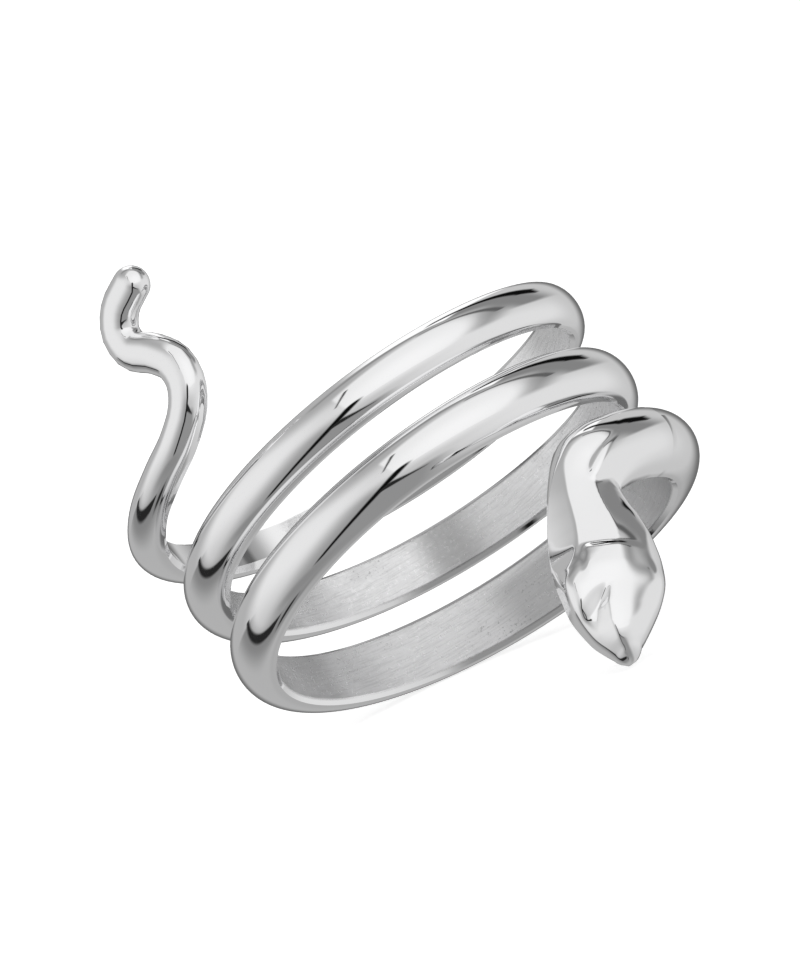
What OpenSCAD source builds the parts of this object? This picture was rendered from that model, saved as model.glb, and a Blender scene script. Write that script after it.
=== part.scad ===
// Snake wrap ring: one casting that winds round the finger, with a loose tail and a head that
// lies along the finger. The snake is drawn flat and wrapped round the finger hole, which then
// runs along Y with the tail towards +Y, the head towards -Y and the ring's front up. Last of
// all it is turned to how the ring rests by itself: on the snout and on the coil's edge.

/* [Finger hole] */
// Diameter of the finger hole
bore_d = 17.3; // [15:0.1:21]

/* [Coil] */
// Length of the coil along the finger, from the tail's start to the loop, on the centre line
coil_l = 9; // [8:0.1:12]
// Width of the body at its widest turn
body_w = 2.9; // [2.2:0.05:3]
// Height of the body over the finger hole at its highest turn
body_h = 1.8; // [1.3:0.05:2.4]
// Height of the upright side of the body under its dome
side_h = 0.35; // [0.25:0.05:0.6]
// Bevel along the inner edges
edge_bevel = 0.2; // [0.1:0.05:0.3]

/* [Tail] */
// How far the tail stands out past the coil, along the finger
tail_l = 7.2; // [6:0.1:9]
// Thickness of the tail
tail_d = 1.5; // [1.2:0.05:1.8]
// Gap between the finger and the tail's underside
tail_gap = 0.12; // [0.06:0.02:0.3]
// How much further the tail's root stands off the finger
tail_lift = 0.75; // [0:0.05:0.8]

/* [Head] */
// Length of the neck and head along the finger, from the loop's centre line to the snout
head_l = 8.9; // [7.5:0.1:11]
// Width of the head at the cheeks
head_w = 5; // [4.4:0.1:5.8]
// Height of the head over the finger hole
head_h = 2.4; // [1.9:0.05:3]

/* [Rest] */
// Turn of the ring about the finger hole as it rests, from its front up
rest_roll = -26.8; // [-40:0.1:0]
// Turn of the finger hole up from level as the ring rests
rest_lean = 62.7; // [50:0.1:75]

/* [Hidden] */

bore_r = bore_d / 2;
// Radius at which the flat drawing keeps its lengths when it is wrapped
wrap_r = bore_r + body_h / 2;
// How far the sections reach below the finger hole's wall before it is cut
under = 0.35;
// Longest step between two rings of points along the snake
coil_step = 1.5;
tail_step = 0.45;
head_step = 0.45;
// Points on a section's dome and on its underside
DOME = 10;
BASE = 6;
silver = [0.86, 0.86, 0.87];

// Columns of the flat tables. TURN is the travel from the front in degrees, OUT the place along
// the finger. WIDE and HIGH are the section's width and height. FLAT is 1 where the section is
// flat against the finger and 0 where it is round. SEAT is 1 where the section sits on the
// finger and 0 where it stands off, by the share LIFT of tail_lift. The head always sits on the
// finger and has two others in those places: LEAN turns a section away from square to its path,
// in degrees, and DIP is the depth of the valley in its dome, in shares of its height.
TURN = 0;
OUT = 1;
WIDE = 2;
HIGH = 3;
FLAT = 4;
SEAT = 5;
LIFT = 6;
LEAN = 5;
DIP = 6;

// Tail, from its tip to the coil: OUT in shares of tail_l, WIDE and HIGH in shares of tail_d
TAIL = [
    [28.8, 1.00, 1.04, 1.00, 0, 0, 0.1],
    [35.4, 0.945, 1.06, 1.00, 0, 0, 0.1],
    [39.3, 0.84, 1.08, 1.00, 0, 0, 0.1],
    [39.2, 0.74, 1.10, 1.00, 0, 0, 0.15],
    [33.6, 0.60, 1.10, 1.00, 0, 0, 0.25],
    [30.4, 0.475, 1.08, 1.00, 0, 0, 0.35],
    [30.6, 0.37, 1.05, 1.00, 0.1, 0, 0.4],
    [34.0, 0.245, 1.02, 1.00, 0.3, 0, 0.5],
    [40.6, 0.155, 1.00, 1.00, 0.5, 0, 0.6],
    [51.5, 0.10, 1.00, 0.98, 0.8, 0, 0.7],
    [65.0, 0.06, 1.00, 0.95, 1, 0, 0.85],
    [79.0, 0.02, 0.98, 0.92, 1, 0, 0.95]
];
// Coil, from the tail to the loop: OUT in shares of coil_l, WIDE of body_w, HIGH of body_h
COIL = [
    [95, 0.005, 0.53, 0.74, 1, 0, 0.85],
    [120, 0.025, 0.58, 0.70, 1, 0, 0.4],
    [150, 0.035, 0.63, 0.66, 1, 0.5, 0.07],
    [180, 0.053, 0.68, 0.63, 1, 1, 0],
    [215, 0.077, 0.72, 0.60, 1, 1, 0],
    [270, 0.150, 0.73, 0.59, 1, 1, 0],
    [315, 0.208, 0.71, 0.60, 1, 1, 0],
    [360, 0.257, 0.71, 0.66, 1, 1, 0],
    [450, 0.346, 0.75, 0.84, 1, 1, 0],
    [540, 0.450, 0.79, 0.67, 1, 1, 0],
    [630, 0.555, 0.85, 0.68, 1, 1, 0],
    [675, 0.598, 0.84, 0.73, 1, 1, 0],
    [720, 0.634, 0.79, 0.76, 1, 1, 0],
    [810, 0.722, 0.83, 0.78, 1, 1, 0],
    [900, 0.833, 0.95, 0.94, 1, 1, 0],
    [990, 0.942, 1.04, 1.08, 1, 1, 0],
    [1010, 0.972, 1.03, 1.05, 1, 1, 0]
];
// The coil's end, where the body turns along the finger beside the neck: OUT in shares of
// head_l from the loop's centre line
LOOP_END = [
    [1022, 0.00, 0.97, 1.00, 1, 1, 0],
    [1030, 0.06, 0.80, 0.97, 1, 1, 0],
    [1034.5, 0.15, 0.62, 0.88, 1, 1, 0],
    [1037, 0.26, 0.52, 0.78, 1, 1, 0],
    [1038, 0.38, 0.48, 0.70, 1, 1, 0],
    [1038.5, 0.48, 0.40, 0.60, 1, 1, 0]
];
// Neck and head, from inside the loop to the snout: OUT in shares of head_l from the loop's
// centre line, WIDE of head_w, HIGH of head_h
HEAD = [
    [1010, -0.03, 0.44, 0.40, 1, 0, 0],
    [1022, -0.03, 0.52, 0.50, 1, 0, 0],
    [1030.5, 0.00, 0.60, 0.62, 1, 0, 0],
    [1036.5, 0.06, 0.64, 0.70, 1, 0, 0],
    [1040.8, 0.14, 0.67, 0.76, 1, 0, 0],
    [1044.0, 0.25, 0.74, 0.80, 1, 0, 0],
    [1046.3, 0.36, 0.84, 0.84, 1, -6, 0],
    [1048.3, 0.48, 0.95, 0.94, 1, -12, 0.05],
    [1050.5, 0.58, 0.97, 1.00, 1, -14, 0.10],
    [1053, 0.68, 0.88, 0.94, 1, -12, 0.08],
    [1055.5, 0.78, 0.71, 0.82, 1, -8, 0.04],
    [1058, 0.87, 0.50, 0.68, 1, -4, 0.03],
    [1060, 0.935, 0.30, 0.55, 1, 0, 0],
    [1061.3, 0.975, 0.12, 0.40, 1, 0, 0]
];

// Millimetres on the flat drawing for a degree of travel
degree_l = PI * wrap_r / 180;

// A table's row in millimetres, from its start along the finger and its named sizes
function scaled(row, start, length, wide, high) = [
    row[TURN] * degree_l, start + row[OUT] * length, row[WIDE] * wide, row[HIGH] * high,
    row[FLAT], row[SEAT], row[LIFT]
];

tail_rows = [for (row = TAIL) scaled(row, -coil_l / 2, -tail_l, tail_d, tail_d)];
coil_rows = [for (row = COIL) scaled(row, -coil_l / 2, coil_l, body_w, body_h)];
loop_rows = [for (row = LOOP_END) scaled(row, coil_l / 2, head_l, body_w, body_h)];
body_rows = concat(tail_rows, coil_rows, loop_rows);
head_rows = [for (row = HEAD) scaled(row, coil_l / 2, head_l, head_w, head_h)];

// Distance between two rows on the flat drawing
function reach(a, b) = norm([a[TURN] - b[TURN], a[OUT] - b[OUT]]);

// Change of a row per millimetre at row i
function slope(rows, i) =
    let (last = len(rows) - 1)
    i == 0 ? (rows[1] - rows[0]) / reach(rows[1], rows[0]) :
    i == last ? (rows[last] - rows[last - 1]) / reach(rows[last], rows[last - 1]) :
    let (
        before = reach(rows[i], rows[i - 1]),
        after = reach(rows[i + 1], rows[i]),
        into = (rows[i] - rows[i - 1]) / before,
        away = (rows[i + 1] - rows[i]) / after
    )
    (into * after + away * before) / (before + after);

// Row at the share f between rows i and i + 1, on a smooth curve through the table
function between(rows, i, f) =
    let (gap = reach(rows[i], rows[i + 1]))
    rows[i] * (2 * f ^ 3 - 3 * f ^ 2 + 1) + slope(rows, i) * gap * (f ^ 3 - 2 * f ^ 2 + f) +
    rows[i + 1] * (3 * f ^ 2 - 2 * f ^ 3) + slope(rows, i + 1) * gap * (f ^ 3 - f ^ 2);

// All rings' rows along a table, no further apart than step_of says for each stretch
function along(rows, steps) = concat(
    [
        for (i = [0 : len(rows) - 2])
        let (count = ceil(reach(rows[i], rows[i + 1]) / steps[i]))
        for (j = [0 : count - 1])
        between(rows, i, j / count)
    ],
    [rows[len(rows) - 1]]
);

// Direction of travel at ring i on the flat drawing
function heading(rings, i) =
    let (
        a = rings[max(i - 1, 0)],
        b = rings[min(i + 1, len(rings) - 1)],
        way = [b[TURN] - a[TURN], b[OUT] - a[OUT]]
    )
    way / norm(way);

// Section as [across, up] in millimetres, once round it: the dome from one side to the other,
// then the underside. The bevels run on to deep under the finger hole's wall, which cuts them.
function section(row, deep, lift, dip) =
    let (
        half = row[WIDE] / 2,
        flat = row[FLAT],
        middle = flat * min(side_h, row[HIGH] / 2) + (1 - flat) * row[HIGH] / 2,
        rise = row[HIGH] - middle,
        inner = half - edge_bevel - deep
    )
    concat(
        [
            for (i = [0 : DOME])
            let (a = 180 * i / DOME)
            [half * cos(a), lift + middle + rise * sin(a) - dip * row[HIGH] * sin(a) ^ 6]
        ],
        [
            for (i = [0 : BASE - 1])
            let (
                a = 180 * (i + 1) / (BASE + 1),
                round_point = [-half * cos(a), lift + middle * (1 - sin(a))],
                flat_point = i == 0 ? [-half, lift + edge_bevel] :
                    i == BASE - 1 ? [half, lift + edge_bevel] :
                    [-inner + 2 * inner * (i - 1) / (BASE - 3), lift - deep]
            )
            (1 - flat) * round_point + flat * flat_point
        ]
    );

// Points of a section set on the flat drawing, as [travel, out, up] in millimetres
function placed(row, way, lean, points) =
    let (
        side = [-way.y * cos(lean) - way.x * sin(lean), way.x * cos(lean) - way.y * sin(lean)]
    )
    [for (p = points) [row[TURN] + side.x * p.x, row[OUT] + side.y * p.x, p.y]];

function body_ring(rings, i, deep) =
    let (row = rings[i], lift = tail_gap * (1 - row[SEAT]) + tail_lift * row[LIFT])
    placed(row, heading(rings, i), 0, section(row, deep * row[SEAT], lift, 0));

function head_ring(rings, i, deep) =
    let (row = rings[i])
    placed(row, heading(rings, i), row[LEAN], section(row, deep, 0, row[DIP]));

// The tail's round tip: rings that shrink to a point beyond the first ring
TIP = 4;
function tip_rings(rings) =
    let (
        row = rings[0],
        way = heading(rings, 0),
        first = body_ring(rings, 0, 0),
        centre = [row[TURN], row[OUT], tail_gap + tail_lift * row[LIFT] + row[HIGH] / 2],
        half = row[WIDE] / 2
    )
    [
        for (i = [TIP : -1 : 1])
        let (a = 80 * i / TIP)
        [for (p = first) centre + (p - centre) * cos(a) - [way.x, way.y, 0] * half * sin(a)]
    ];

// The flat drawing's point on the finger
function wrapped(p) =
    let (a = -p.x / wrap_r * 180 / PI, r = bore_r + p.z)
    [r * sin(a), -p.y, r * cos(a)];

body_steps = [
    for (i = [0 : len(body_rows) - 2])
    i < len(tail_rows) ? tail_step : i < len(tail_rows) + len(coil_rows) - 1 ? coil_step : tail_step
];
head_steps = [for (row = head_rows) head_step];
body_path = along(body_rows, body_steps);
head_path = along(head_rows, head_steps);
// Rings of points round the finger, with bevels that run on to deep under the hole's wall
function body_rings(deep) = [
    for (ring = tip_rings(body_path))
    [for (p = ring) wrapped(p)],
    for (i = [0 : len(body_path) - 1])
    [for (p = body_ring(body_path, i, deep)) wrapped(p)]
];
function head_rings(deep) = [
    for (i = [0 : len(head_path) - 1])
    [for (p = head_ring(head_path, i, deep)) wrapped(p)]
];

// A point of the ring turned to how it rests
function rested(p) =
    let (
        x = p.x * cos(rest_roll) + p.z * sin(rest_roll),
        z = p.z * cos(rest_roll) - p.x * sin(rest_roll)
    )
    [x, p.y * cos(rest_lean) - z * sin(rest_lean), p.y * sin(rest_lean) + z * cos(rest_lean)];

// Box round the resting ring's points, which sets it down on its lowest one
rested_points = [for (ring = concat(body_rings(0), head_rings(0))) for (p = ring) rested(p)];
low = [for (k = [0 : 2]) min([for (p = rested_points) p[k]])];
high = [for (k = [0 : 2]) max([for (p = rested_points) p[k]])];
set_down = [-(low.x + high.x) / 2, -(low.y + high.y) / 2, -low.z];

// A closed skin over rings of equally many points
module skin(rings) {
    count = len(rings[0]);
    last = len(rings) - 1;
    sides = [
        for (i = [0 : last - 1], j = [0 : count - 1])
        let (a = i * count + j, b = i * count + (j + 1) % count)
        each [[a, b + count, b], [a, a + count, b + count]]
    ];
    ends = [
        [for (j = [0 : count - 1]) j],
        [for (j = [count - 1 : -1 : 0]) last * count + j]
    ];
    polyhedron([for (ring = rings) each ring], concat(sides, ends));
}

module snake_ring() {
    color(silver)
    translate(set_down)
    rotate([rest_lean, 0, 0])
    rotate([0, rest_roll, 0])
    difference() {
        union() {
            skin(body_rings(under));
            skin(head_rings(under));
        }
        rotate([90, 0, 0])
        cylinder(r = bore_r, h = 2 * (coil_l + tail_l + head_l), center = true, $fn = 240);
    }
}

snake_ring();
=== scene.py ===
import math

import bmesh
import bpy
from mathutils import Matrix, Vector


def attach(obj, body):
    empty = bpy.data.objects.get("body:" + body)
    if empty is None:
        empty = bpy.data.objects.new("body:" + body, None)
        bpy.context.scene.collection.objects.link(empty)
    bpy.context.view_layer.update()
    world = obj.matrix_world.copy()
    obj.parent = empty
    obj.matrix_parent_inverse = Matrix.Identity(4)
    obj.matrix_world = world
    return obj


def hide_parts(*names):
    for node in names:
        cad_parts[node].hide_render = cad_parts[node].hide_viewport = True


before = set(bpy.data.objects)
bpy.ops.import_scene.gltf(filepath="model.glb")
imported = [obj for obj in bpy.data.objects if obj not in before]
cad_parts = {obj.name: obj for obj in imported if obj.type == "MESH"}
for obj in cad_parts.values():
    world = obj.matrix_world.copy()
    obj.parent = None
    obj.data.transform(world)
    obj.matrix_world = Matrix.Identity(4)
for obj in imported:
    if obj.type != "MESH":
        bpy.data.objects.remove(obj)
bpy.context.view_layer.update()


# The finger hole and the ring's rest. The hole is a true cylinder that every turn lies on. At
# rest the hole leans up from level, with the tail's end up and the head's end on the floor.
MM = 0.001
BORE_R = 8.65 * MM
WRAP_R = 9.55 * MM
REST_ROLL = math.radians(-26.8)
REST_LEAN = math.radians(62.7)
HOLE_CENTRE = Vector((0.125406, 1.95192, 7.88205)) * MM
rest = (
    Matrix.Translation(HOLE_CENTRE)
    @ Matrix.Rotation(REST_LEAN, 4, "X")
    @ Matrix.Rotation(REST_ROLL, 4, "Y")
)


def wrapped(travel, out, up):
    """A point of the flat drawing on the finger: metres of travel, out and up."""
    turn = -travel / WRAP_R
    radius = BORE_R + up
    return rest @ Vector((radius * math.sin(turn), -out, radius * math.cos(turn)))


# Camera: a long lens, turned so that the finger hole runs as it does in the photograph. The pivot
# is a point of the hole's axis, in millimetres, and the pixel is where it shows in the frame.
PIXELS_WIDE, PIXELS_HIGH = 800, 978
PIXELS_A_MM = 24.89
PIVOT = Vector((0, 0.5, 0))
PIVOT_PIXEL = 413.67, 490.84
CAMERA_AWAY = 1.2
view_right = Vector((0.8233, -0.5416, -0.1699)).normalized()
view_back = Vector((0.0, -0.2994, 0.9541)).normalized()
view_up = view_back.cross(view_right).normalized()
view_right = view_up.cross(view_back).normalized()
aim = PIVOT + view_right * (PIXELS_WIDE / 2 - PIVOT_PIXEL[0]) / PIXELS_A_MM
aim += view_up * (PIVOT_PIXEL[1] - PIXELS_HIGH / 2) / PIXELS_A_MM
turned = rest.to_3x3()
camera_data = bpy.data.cameras.new("camera")
camera_data.sensor_fit = "HORIZONTAL"
camera_data.sensor_width = 36
camera_data.lens = 36 * CAMERA_AWAY / (PIXELS_WIDE / PIXELS_A_MM * MM)
camera_data.clip_start = 0.05
camera = bpy.data.objects.new("camera", camera_data)
bpy.context.scene.collection.objects.link(camera)
columns = [turned @ view_right, turned @ view_up, turned @ view_back]
camera.matrix_world = Matrix.Translation(rest @ (aim * MM) + columns[2] * CAMERA_AWAY) @ Matrix(
    columns
).transposed().to_4x4()
bpy.context.scene.camera = camera
bpy.context.scene.view_settings.view_transform = "Standard"


# Snake: the whole ring, one silver casting from the tail's round tip through the coil and the
# loop to the snout. The outside is a polished dome on short upright sides, and the finger's side
# is left satin, flat on the finger with small bevels.
COIL_L, BODY_W, BODY_H = 9.0, 2.9, 1.8
TAIL_L, TAIL_D, TAIL_GAP, TAIL_LIFT = 7.2, 1.5, 0.12, 0.75
SIDE_H, EDGE_BEVEL, UNDER, LOOP_FILLET = 0.35, 0.2, 0.35, 0.1
# The tail and the coil. Columns: travel from the front in degrees, place along the finger, width,
# height, how flat the underside is, how far it is seated on the finger, how far it stands off.
TAIL = [
    [28.8, 1.00, 1.04, 1.00, 0, 0, 0.1],
    [35.4, 0.945, 1.06, 1.00, 0, 0, 0.1],
    [39.3, 0.84, 1.08, 1.00, 0, 0, 0.1],
    [39.2, 0.74, 1.10, 1.00, 0, 0, 0.15],
    [33.6, 0.60, 1.10, 1.00, 0, 0, 0.25],
    [30.4, 0.475, 1.08, 1.00, 0, 0, 0.35],
    [30.6, 0.37, 1.05, 1.00, 0.1, 0, 0.4],
    [34.0, 0.245, 1.02, 1.00, 0.3, 0, 0.5],
    [40.6, 0.155, 1.00, 1.00, 0.5, 0, 0.6],
    [51.5, 0.10, 1.00, 0.98, 0.8, 0, 0.7],
    [65.0, 0.06, 1.00, 0.95, 1, 0, 0.85],
    [79.0, 0.02, 0.98, 0.92, 1, 0, 0.95],
]
COIL = [
    [95, 0.005, 0.53, 0.74, 1, 0, 0.85],
    [120, 0.025, 0.58, 0.70, 1, 0, 0.4],
    [150, 0.035, 0.63, 0.66, 1, 0.5, 0.07],
    [180, 0.053, 0.68, 0.63, 1, 1, 0],
    [215, 0.077, 0.72, 0.60, 1, 1, 0],
    [270, 0.150, 0.73, 0.59, 1, 1, 0],
    [315, 0.208, 0.71, 0.60, 1, 1, 0],
    [360, 0.257, 0.71, 0.66, 1, 1, 0],
    [450, 0.346, 0.75, 0.84, 1, 1, 0],
    [540, 0.450, 0.79, 0.67, 1, 1, 0],
    [630, 0.555, 0.85, 0.68, 1, 1, 0],
    [675, 0.598, 0.84, 0.73, 1, 1, 0],
    [720, 0.634, 0.79, 0.76, 1, 1, 0],
    [810, 0.722, 0.83, 0.78, 1, 1, 0],
    [900, 0.833, 0.95, 0.94, 1, 1, 0],
    [990, 0.942, 1.04, 1.08, 1, 1, 0],
    [1010, 0.972, 1.03, 1.05, 1, 1, 0],
]
# The loop's end, neck and head, from the loop to the snout. Columns: travel and place along the
# finger of the edge on the loop's side, the same of the other edge, height, where the crest lies
# across it, where the bevel on the other side starts, how square that side's shoulder is and the
# first side's, and how far the first side slopes.
NECK = [
    [168.23, 5.74, 168.47, 2.76, 1.89, 0.00, -1.00, 2.0, 2.0, 0.0],
    [169.60, 5.85, 169.75, 2.86, 1.90, 0.00, -1.00, 2.0, 2.0, 0.0],
    [171.00, 6.05, 171.10, 3.00, 1.89, -0.03, -1.00, 2.0, 2.0, 0.0],
    [171.90, 6.30, 172.40, 3.17, 1.80, -0.12, -0.90, 2.1, 2.0, 0.0],
    [172.15, 6.45, 173.50, 3.60, 1.60, -0.14, -0.76, 2.5, 2.0, 0.0],
    [172.25, 6.58, 174.15, 4.10, 1.46, -0.10, -0.70, 2.8, 2.0, 0.05],
    [172.32, 6.75, 174.78, 4.75, 1.40, -0.04, -0.64, 3.0, 2.6, 0.12],
    [172.40, 6.98, 175.40, 5.50, 1.45, 0.03, -0.57, 3.0, 3.2, 0.16],
    [172.50, 7.35, 175.97, 6.30, 1.56, 0.11, -0.50, 3.0, 3.8, 0.18],
    [172.55, 7.85, 176.56, 7.20, 1.72, 0.17, -0.46, 3.0, 4.0, 0.18],
    [172.60, 8.50, 176.98, 8.00, 1.87, 0.16, -0.51, 3.0, 3.4, 0.14],
    [172.64, 9.30, 177.30, 8.80, 1.98, 0.06, -0.76, 4.0, 2.6, 0.08],
    [172.80, 10.15, 177.50, 9.60, 2.04, -0.12, -0.95, 6.0, 2.2, 0.03],
    [173.25, 11.00, 177.64, 10.40, 2.03, -0.26, -1.00, 5.2, 2.1, 0.0],
    [174.00, 11.75, 177.60, 11.15, 2.00, -0.30, -1.00, 3.6, 2.0, 0.0],
    [174.75, 12.28, 177.46, 11.90, 1.90, -0.30, -1.00, 2.9, 2.0, 0.0],
    [175.36, 12.66, 177.22, 12.42, 1.68, -0.26, -1.00, 2.7, 2.0, 0.0],
    [175.76, 12.88, 177.04, 12.74, 1.42, -0.20, -1.00, 2.4, 2.0, 0.0],
]
# The keel, the sharp edge from the bump to the snout. Columns: place along the finger, travel.
KEEL = [
    [9.9, 175.55],
    [10.4, 175.98],
    [11.0, 176.45],
    [11.7, 176.75],
    [12.4, 176.80],
    [13.3, 176.75],
]
# The head's other forms: where they lie, as travel and place along the finger in millimetres, how
# wide and high they are, and how steep the neck's flat and its bevel fall away.
LOOP_ENTRY, LOOP_END = (169.7, 4.36), (172.1, 4.3)
LOOP_HALF, LOOP_HIGH, LOOP_DRIFT = 1.5, 1.9, 0.12
BUMP, BUMP_HIGH = (175.55, 9.4), 0.12
KEEL_DEEP, KEEL_FOOT, KEEL_EDGE = 0.45, 0.5, 0.06
CHEEK, CHEEK_WIDE, CHEEK_LONG, CHEEK_HIGH = (174.0, 11.05), 0.7, 0.75, 0.20
NECK_LEAN, BEVEL_SLOPE, BEVEL_ROUND = 0.22, 0.84, 0.06
SNOUT, SNOUT_REACH = Vector((176.40, 12.81, 0.25)), Vector((0.10, 0.40, 0))


def laid_out(table, start, length, wide, high):
    """A table's rows in millimetres, except for its last three columns."""
    degree = math.radians(WRAP_R / MM)
    return [
        [row[0] * degree, start + row[1] * length, row[2] * wide, row[3] * high] + row[4:]
        for row in table
    ]


def smooth_path(rows, step, places=2):
    """Rows no further apart than step in their first columns, smoothly through the given ones."""
    gap = [math.dist(a[:places], b[:places]) for a, b in zip(rows, rows[1:])]
    rate = [[(q - p) / g for p, q in zip(a, b)] for a, b, g in zip(rows, rows[1:], gap)]
    slope = [rate[0]]
    for i in range(1, len(rows) - 1):
        before, after = gap[i - 1], gap[i]
        slope.append(
            [(p * after + q * before) / (before + after) for p, q in zip(rate[i - 1], rate[i])]
        )
    slope.append(rate[-1])
    path = []
    for i, g in enumerate(gap):
        count = math.ceil(g / step)
        for f in [j / count for j in range(count)]:
            path.append(
                [
                    a * (2 * f**3 - 3 * f**2 + 1)
                    + b * (3 * f**2 - 2 * f**3)
                    + g * (m * (f**3 - 2 * f**2 + f) + n * (f**3 - f**2))
                    for a, b, m, n in zip(rows[i], rows[i + 1], slope[i], slope[i + 1])
                ]
            )
    return path + [rows[-1]]


def heading(path, i):
    """The direction in which the path runs at a row."""
    a, b = path[max(i - 1, 0)], path[min(i + 1, len(path) - 1)]
    return Vector((b[0] - a[0], b[1] - a[1])).normalized()


# How many steps a section has over its dome and along its underside.
DOME, BASE = 96, 10


def section(wide, high, flat, deep, lift):
    """One section as (across, up) in millimetres: the dome, then the underside."""
    half = wide / 2
    middle = flat * min(SIDE_H, high / 2) + (1 - flat) * high / 2
    inner = max(half - EDGE_BEVEL - deep, 0.04)
    points = []
    for i in range(DOME + 1):
        a = math.pi * i / DOME
        points.append((half * math.cos(a), lift + middle + (high - middle) * math.sin(a)))
    for i in range(BASE):
        a = math.pi * (i + 1) / (BASE + 1)
        low = (-half * math.cos(a), lift + middle * (1 - math.sin(a)))
        if i in (0, BASE - 1):
            level = (half if i else -half, lift + EDGE_BEVEL)
        else:
            level = (-inner + 2 * inner * (i - 1) / (BASE - 3), lift - deep)
        points.append(tuple((1 - flat) * p + flat * q for p, q in zip(low, level)))
    return points


def body_section(path, i):
    """The section at a row, as points (travel, out, up) in millimetres."""
    row, way = path[i], heading(path, i)
    lift = TAIL_GAP * (1 - row[5]) + TAIL_LIFT * row[6]
    flat_points = section(row[2], row[3], row[4], UNDER * row[5], lift)
    return [(row[0] - way.y * x, row[1] + way.x * x, z) for x, z in flat_points]


def eased(x, start, end):
    """0 at the start, 1 at the end and beyond, with soft ends."""
    x = min(max((x - start) / (end - start), 0), 1)
    return x * x * (3 - 2 * x)


def mound(travel, out, centre, wide, long):
    """1 at the centre, falling softly to 0 over the given width and length."""
    return math.exp(-(((travel - centre[0]) / wide) ** 2) - ((out - centre[1]) / long) ** 2)


def loop_dome(travel, out):
    """The height of the loop's dome, which runs on straight over the neck. It stops at a slant,
    bowed in the middle, and falls away past it as a parabola."""
    middle = LOOP_ENTRY[1] + LOOP_DRIFT * (travel - LOOP_ENTRY[0])
    rise = 1 - ((out - middle) / LOOP_HALF) ** 2
    if rise <= 0:
        return 0
    travel, out = travel - LOOP_END[0], out - LOOP_END[1]
    past, along = (travel * 1.3 - out * 1.6) / 2.06, (travel * 1.6 + out * 1.3) / 2.06
    past += 0.47 - 0.17 * max(1 - ((along - 1.0) / 1.3) ** 2, 0)
    return SIDE_H + (LOOP_HIGH - SIDE_H) * math.sqrt(rise) - 1.45 * max(past, 0) ** 2


def back_bump(travel, out):
    """The bump behind the cheeks: a step up from the neck and a soft slope to the snout."""
    travel, out = travel - BUMP[0], out - BUMP[1]
    across, down = (-travel * 1.36 + out * 0.8) / 1.58, (travel * 0.8 + out * 1.36) / 1.58
    sides = eased(-across, 1.0, 0.65) * eased(across, 1.6, 0.4)
    return eased(down, -1.0, -0.6) * eased(down, 1.0, 0.0) * sides


def beside_keel(travel, out):
    """How deep the dip is that runs along the keel, on the side away from the loop."""
    line = KEEL[0][1] if out < KEEL[0][0] else KEEL[-1][1]
    for (start, a), (end, b) in zip(KEEL, KEEL[1:]):
        if start <= out <= end:
            line = a + (b - a) * (out - start) / (end - start)
    away = (math.hypot(travel - line, KEEL_EDGE) + travel - line) / 2
    depth = KEEL_DEEP * eased(out, 10.12 - 0.3 * away, 10.74 + 0.5 * away)
    depth *= 1 - 0.3 * eased(out, 11.0, 12.4)
    return depth * (1 - max(1 - away / KEEL_FOOT, 0) ** 2) * (1 - 0.45 * eased(away, 0.5, 1.5))


def blend(low, high, width):
    """The larger of two heights, with a fillet of the given width; the smaller for a negative."""
    near = max(abs(width) - abs(low - high), 0) / abs(width)
    pick = max if width > 0 else min
    return pick(low, high) + near * near * width / 4


def neck_section(row):
    """The section between a row's two edges, as points (travel, out, up) in millimetres."""
    crest, ridge, bevel, left, right, fall = row[4:]
    middle = (row[0] + row[2]) / 2, (row[1] + row[3]) / 2
    reach = (row[0] - row[2]) / 2, (row[1] - row[3]) / 2
    half = math.hypot(*reach)
    side = min(SIDE_H, crest / 2)
    inner = max(half - EDGE_BEVEL - UNDER, 0.04) / half
    points = []
    for i in range(DOME + 1):
        x = math.cos(math.pi * i / DOME)
        travel, out = middle[0] + reach[0] * x, middle[1] + reach[1] * x
        if x > ridge:
            share = (x - ridge) / (1 - ridge)
            rise = max(1 - share**right, 0) ** (1 / right) * (1 - fall * share)
            up = side + (crest - side) * rise
        else:
            share = (ridge - x) / (1 + ridge)
            lean = NECK_LEAN * eased(bevel, -1.0, -0.5) * (ridge - x) * half
            up = side + (crest - lean - side) * max(1 - share**left, 0) ** (1 / left)
            if bevel > -1:
                slope = crest - lean - BEVEL_SLOPE * (bevel - x) * half
                up = blend(up, slope, -BEVEL_ROUND)
            up = max(up, side * math.sqrt(max(1 - share**4, 0)))
        within = 1 - x**12
        up = blend(up, loop_dome(travel, out) * within, LOOP_FILLET)
        forms = BUMP_HIGH * back_bump(travel, out) - beside_keel(travel, out)
        forms += CHEEK_HIGH * mound(travel, out, CHEEK, CHEEK_WIDE, CHEEK_LONG)
        points.append((travel, out, up + within * forms))
    for i in range(BASE):
        x, up = (1 if i else -1), EDGE_BEVEL
        if i not in (0, BASE - 1):
            x, up = inner * (2 * (i - 1) / (BASE - 3) - 1), -UNDER
        points.append((middle[0] + reach[0] * x, middle[1] + reach[1] * x, up))
    return points


def round_tip(points, centre, beyond, start=0):
    """Sections that shrink to a point beyond a given one, as the last of a ball from an angle."""
    tips = []
    for a in [math.radians(start + (89 - start) * k / 12) for k in range(1, 13)]:
        size = math.cos(a) / math.cos(math.radians(start))
        share = 1 - (1 - math.sin(a)) / (1 - math.sin(math.radians(start)))
        tips.append([tuple((Vector(p) - centre) * size + centre + beyond * share) for p in points])
    return tips


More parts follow.
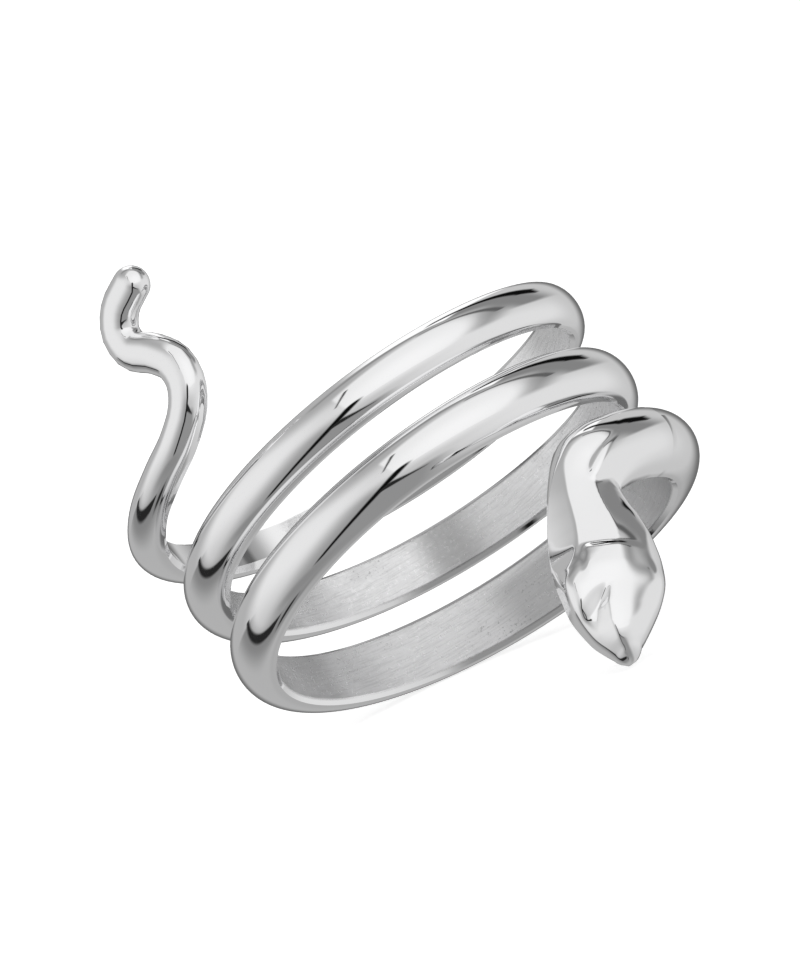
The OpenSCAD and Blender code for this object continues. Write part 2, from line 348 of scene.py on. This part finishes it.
def lofted(name, sections):
    """A closed mesh drawn out from section to section."""
    sections = [[wrapped(*(v * MM for v in p)) for p in points] for points in sections]
    bm = bmesh.new()
    ring = bmesh.ops.create_circle(bm, segments=len(sections[0]), radius=MM)["verts"]
    for vert, point in zip(ring, sections[0]):
        vert.co = point
    start = ring
    for points in sections[1:]:
        edges = [bm.edges.get(pair) for pair in zip(ring, ring[1:] + ring[:1])]
        made = set(bmesh.ops.extrude_edge_only(bm, edges=edges)["geom"])
        ring = [
            next(e.other_vert(v) for e in v.link_edges if e.other_vert(v) in made) for v in ring
        ]
        for vert, point in zip(ring, points):
            vert.co = point
    for end in (start, ring):
        bmesh.ops.contextual_create(bm, geom=end)
    bmesh.ops.recalc_face_normals(bm, faces=bm.faces)
    mesh = bpy.data.meshes.new(name)
    bm.to_mesh(mesh)
    bm.free()
    made = bpy.data.objects.new(name, mesh)
    bpy.context.scene.collection.objects.link(made)
    return made


tail_rows = laid_out(TAIL, -COIL_L / 2, -TAIL_L, TAIL_D, TAIL_D)
coil_rows = laid_out(COIL, -COIL_L / 2, COIL_L, BODY_W, BODY_H)
path = smooth_path(tail_rows + coil_rows, 0.45)
body = [body_section(path, i) for i in range(len(path))]
tail_end, way = path[0], heading(path, 0)
tail_up = TAIL_GAP + TAIL_LIFT * tail_end[6] + tail_end[3] / 2
tail_centre = Vector((tail_end[0], tail_end[1], tail_up))
tail_tip = round_tip(body[0], tail_centre, Vector((-way.x, -way.y, 0)) * tail_end[2] / 2)
neck = [neck_section(row) for row in smooth_path(NECK, 0.06, 4)]
snout_tip = round_tip(neck[-1], SNOUT, SNOUT_REACH, 30)
snake = lofted("snake", tail_tip[::-1] + body + neck[1:] + snout_tip)

# The finger hole is cut through it, true to the cylinder.
bm = bmesh.new()
bmesh.ops.create_cone(
    bm, cap_ends=True, segments=360, radius1=BORE_R, radius2=BORE_R, depth=0.06
)
bmesh.ops.rotate(bm, verts=bm.verts, matrix=Matrix.Rotation(math.pi / 2, 3, "X"))
bmesh.ops.transform(bm, matrix=rest, verts=bm.verts)
mesh = bpy.data.meshes.new("finger")
bm.to_mesh(mesh)
bm.free()
finger = bpy.data.objects.new("finger", mesh)
bpy.context.scene.collection.objects.link(finger)
cut = snake.modifiers.new("finger", "BOOLEAN")
cut.operation = "DIFFERENCE"
cut.solver = "EXACT"
cut.object = finger
bored = bpy.data.meshes.new_from_object(
    snake.evaluated_get(bpy.context.evaluated_depsgraph_get())
)
snake.modifiers.clear()
snake.data = bored
bpy.data.objects.remove(finger)
snake.data.shade_smooth()
snake.data.set_sharp_from_angle(angle=math.radians(35))


class Feed:
    """A socket of a node tree. Sums on it add Math nodes, and node() adds any other node."""

    def __init__(self, tree, socket=None):
        self.tree, self.socket = tree, socket

    def node(self, kind, settings=(), sockets=(), output=0):
        """A new node: its settings are made first, then its sockets take values or feeds."""
        made = self.tree.nodes.new("ShaderNode" + kind)
        for name, value in dict(settings).items():
            setattr(made, name, value)
        for name, value in dict(sockets).items():
            if isinstance(value, Feed):
                self.tree.links.new(value.socket, made.inputs[name])
            else:
                made.inputs[name].default_value = value
        return Feed(self.tree, made.outputs[output])

    def maths(self, operation, *values):
        """A Math node on these values."""
        return self.node("Math", {"operation": operation}, dict(enumerate(values)))

    def vectors(self, operation, *values, output=0):
        """A Vector Math node on these values. Its output 1 is a number."""
        return self.node("VectorMath", {"operation": operation}, dict(enumerate(values)), output)

    def step(self, start, end, low=0.0, high=1.0):
        """From low to high, in a soft curve, as this value goes from start to end."""
        return self.node(
            "MapRange",
            {"interpolation_type": "SMOOTHSTEP"},
            {0: self, 1: start, 2: end, 3: low, 4: high},
        )

    def noise(self, size, detail, rough=0.5):
        """Noise on this place, with lumps of about the given size in metres."""
        sockets = {"Vector": self, "Scale": 1 / size, "Detail": detail, "Roughness": rough}
        return self.node("TexNoise", {}, sockets)

    def __add__(self, other):
        return self.maths("ADD", self, other)

    def __sub__(self, other):
        return self.maths("SUBTRACT", self, other)

    def __rsub__(self, other):
        return self.maths("SUBTRACT", other, self)

    def __mul__(self, other):
        return self.maths("MULTIPLY", self, other)

    __radd__, __rmul__ = __add__, __mul__


# Silver: polished outside. On the finger's side it is satin, brushed round the finger, with a few
# pits, and with dark reflections painted into its colour: on the middle turn, on the turn beside
# the head and at the far left.
silver = bpy.data.materials.new("silver")
silver.use_nodes = True
shader = silver.node_tree.nodes["Principled BSDF"]
place = Feed(silver.node_tree).node("TexCoord", output="Object")
hole_way = rest.to_3x3() @ Vector((0, 1, 0))
from_centre = place.vectors("SUBTRACT", place, HOLE_CENTRE)
along_hole = from_centre.vectors("DOT_PRODUCT", from_centre, hole_way, output=1)
on_axis = from_centre.node(
    "VectorMath", {"operation": "SCALE"}, {"Vector": hole_way, "Scale": along_hole}
)
radius = from_centre.vectors("DISTANCE", from_centre, on_axis, output=1)
outside = radius.step(BORE_R + 0.01 * MM, BORE_R + 0.08 * MM)
inside = 1 - outside
side_way = rest.to_3x3() @ Vector((1, 0, 0))
side = from_centre.vectors("DOT_PRODUCT", from_centre, side_way, output=1)
drawn = from_centre.vectors("ADD", from_centre, on_axis.vectors("MULTIPLY", on_axis, (14, 14, 14)))
brush = drawn.noise(1.1 * MM, 5.0, 0.65)
grain = place.noise(0.16 * MM, 4.0, 0.6)
cast_patch = place.noise(2.4 * MM, 3.0).step(0.56, 0.70)
pits = place.noise(0.1 * MM, 2.0).step(0.40, 0.32) * cast_patch
middle_turn = along_hole.step(-1.9 * MM, -1.3 * MM) * along_hole.step(1.9 * MM, 1.3 * MM)
# Painted reflection: dark bands painted into the colour of the finger's side, on the middle turn,
# beside the head and at the far left.
painted_reflection = side.step(-1.9 * MM, -0.4 * MM) * side.step(2.2 * MM, 0.0) * middle_turn * 0.55
painted_reflection = painted_reflection + side.step(-0.6 * MM, 1.2 * MM) * along_hole.step(-1.9 * MM, -2.5 * MM) * 0.35
painted_reflection = painted_reflection + side.step(-6.4 * MM, -7.4 * MM) * 0.35
# The brushed noise gives the satin its own uneven tone, and it breaks up the painted reflection on
# the bands.
brushed_tone_and_painted_reflection = painted_reflection * brush.step(0.25, 0.55, 0.6, 1.0) + brush.step(0.55, 0.35) * 0.16
scuffs = place.noise(0.35 * MM, 5.0, 0.65)
waves = place.noise(1.5 * MM, 2.0)
polished = scuffs.step(0.35, 0.75, 0.03, 0.07)
satin = grain.step(0.3, 0.7, 0.26, 0.40) + cast_patch * 0.1
roughness = outside * polished + inside * satin
# The colour darkens with the painted reflection, the brushed tone and the pits.
colour = place.node(
    "Mix",
    {"data_type": "RGBA"},
    {0: inside * (brushed_tone_and_painted_reflection + pits * 0.4), 6: (0.93, 0.93, 0.935, 1), 7: (0.2, 0.2, 0.2, 1)},
    output=2,
)
height = waves * (outside * 0.0022) + (grain + brush) * (inside * 0.005)
relief = height.node("Bump", {}, {"Strength": 1.0, "Distance": MM, "Height": height})
for name, value in (("Base Color", colour), ("Roughness", roughness), ("Normal", relief)):
    silver.node_tree.links.new(value.socket, shader.inputs[name])
shader.inputs["Metallic"].default_value = 1
snake.data.materials.clear()
snake.data.materials.append(silver)
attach(snake, "root")
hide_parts("snake_ring")


# Floor: a plain pale sheet that the ring lies on. It glows a little, so that it is nearly white,
# and the polished metal doesn't reflect it.
bm = bmesh.new()
bmesh.ops.create_grid(bm, x_segments=1, y_segments=1, size=2)
mesh = bpy.data.meshes.new("floor")
bm.to_mesh(mesh)
bm.free()
floor = bpy.data.objects.new("floor", mesh)
bpy.context.scene.collection.objects.link(floor)
floor.visible_glossy = False
pale = bpy.data.materials.new("pale")
pale.use_nodes = True
pale.node_tree.nodes["Principled BSDF"].inputs["Base Color"].default_value = (0.9, 0.9, 0.9, 1)
pale.node_tree.nodes["Principled BSDF"].inputs["Roughness"].default_value = 0.9
pale.node_tree.nodes["Principled BSDF"].inputs["Emission Strength"].default_value = 0.6
mesh.materials.append(pale)

# Light: a tent of white cloth round the ring, with one big soft lamp over the camera, a dark gap
# under the lamp where the lens looks in, and dark seams. It is drawn as a mirror ball shows it:
# x to the right and y up on the ball, in front of the camera.
studio = bpy.data.worlds.new("studio")
bpy.context.scene.world = studio
studio.use_nodes = True
ray = Feed(studio.node_tree).node("TexCoord", output="Generated")
halfway = ray.vectors("NORMALIZE", ray.vectors("ADD", ray, columns[2]))
ball_x = halfway.vectors("DOT_PRODUCT", halfway, columns[0], output=1)
ball_y = halfway.vectors("DOT_PRODUCT", halfway, columns[1], output=1)
ball = halfway.node("CombineXYZ", {}, {0: ball_x, 1: ball_y})
rim = ball.vectors("LENGTH", ball, output=1)
angle = ball_y.maths("ARCTAN2", ball_y, ball_x)
round_rim = ball.node("CombineXYZ", {}, {0: rim, 1: angle})


def patch(x, y, wide, high, soft):
    """How much of a soft-edged oval on the ball covers this direction."""
    stretched = ball.vectors("MULTIPLY", ball, (1 / wide, 1 / high, 0))
    centre = (x / wide, y / high, 0)
    return stretched.vectors("DISTANCE", stretched, centre, output=1).step(1 + soft, 1 - soft)


def stroke(where, x, y, end_x, end_y, wide, soft, end_wide=None):
    """How much of a soft-edged line, on the ball or round its rim, covers this direction."""
    begin, run = Vector((x, y, 0)), Vector((end_x - x, end_y - y, 0))
    reach = run / run.length_squared
    share = where.vectors("DOT_PRODUCT", where, reach, output=1) - begin.dot(reach)
    share = share.node("Clamp", {}, {0: share})
    nearest = share.node("VectorMath", {"operation": "MULTIPLY_ADD"}, {0: share, 1: run, 2: begin})
    distance = where.vectors("DISTANCE", where, nearest, output=1)
    if end_wide is not None:
        distance = distance + share * (wide - end_wide)
    return distance.step(wide + soft, wide - soft)


gap_fade = ball_x.step(-0.42, -0.02) * ball_y.step(0.10, -0.15) * ball_x.step(0.06, 0.02)
right_of_gap = ball_x.step(0.0, 0.04) * ball_y.step(-0.14, -0.24)
right_of_gap = right_of_gap * (ball_x + ball_y * 0.5).step(0.32, 0.16)
lamp = (ball_y + ball_x * 1.15).step(-0.012, 0.012) * (ball_y - ball_x * 0.30).step(0.0, 0.04)
lamp = lamp * patch(0.03, 0.26, 0.41, 0.46, 0.12)
far_white = (rim - angle * 0.10).step(0.615, 0.645)
far_white = far_white * angle.step(1.54, 1.60) * angle.step(2.25, 2.05)
to_right = ball_x + ball_y * 0.3
# The brightness of each cloth, lamp or gap and the part of the ball that it covers. Later ones lie
# over earlier ones.
cloth = [
    (0.84, patch(-0.60, -0.04, 0.42, 0.44, 0.75)),
    (0.42, patch(-0.50, 0.56, 0.26, 0.22, 0.8)),
    (0.78, patch(0.72, 0.03, 0.34, 0.42, 0.6)),
    (0.34, gap_fade),
    (0.29, right_of_gap),
    (0.55, patch(0.10, -0.06, 0.14, 0.10, 0.5)),
    (0.30, stroke(ball, 0.42, 0.70, 0.52, 0.36, 0.09, 0.08, 0.06)),
    (0.88, lamp),
    (0.98, patch(0.16, 0.26, 0.26, 0.24, 0.8)),
    (0.08, stroke(ball, -0.285, 0.42, -0.20, 0.20, 0.012, 0.008, 0.006)),
    (0.004, stroke(ball, 0.0, 0.04, 0.02, -0.56, 0.045, 0.02, 0.03)),
    (0.02, stroke(ball, 0.05, -0.16, 0.30, -0.25, 0.040, 0.015, 0.006)),
    (0.26, patch(0.05, -0.66, 0.20, 0.06, 0.6)),
    (0.46, rim.step(0.76, 0.90) * to_right.step(0.45, 0.05)),
    (0.58, rim.step(0.88, 0.98) * to_right.step(0.05, 0.45)),
    (0.24, stroke(round_rim, 0.85, 0.72, 0.77, 2.35, 0.075, 0.045, 0.02)),
    (0.12, stroke(round_rim, 0.735, 1.7, 0.745, 0.85, 0.008, 0.012, 0.02)),
    (1.1, far_white),
    (0.004, stroke(round_rim, 0.900, 1.05, 0.850, 1.76, 0.030, 0.012, 0.018)),
    (0.004, stroke(round_rim, 0.900, 1.05, 0.912, 0.90, 0.030, 0.012, 0.008)),
    (0.24, stroke(round_rim, 0.86, -2.55, 0.81, -1.25, 0.045, 0.045)),
    (0.02, stroke(round_rim, 0.845, -2.65, 0.785, -1.55, 0.010, 0.008, 0.026)),
    (0.02, patch(0.16, -0.78, 0.04, 0.035, 0.4)),
    (0.16, rim.step(0.965, 0.995)),
]
brightness = 0.58
for level, cover in cloth:
    brightness = cover.node("Mix", {"data_type": "FLOAT"}, {0: cover, 2: brightness, 3: level})
background = studio.node_tree.nodes["Background"]
studio.node_tree.links.new(brightness.socket, background.inputs["Color"])
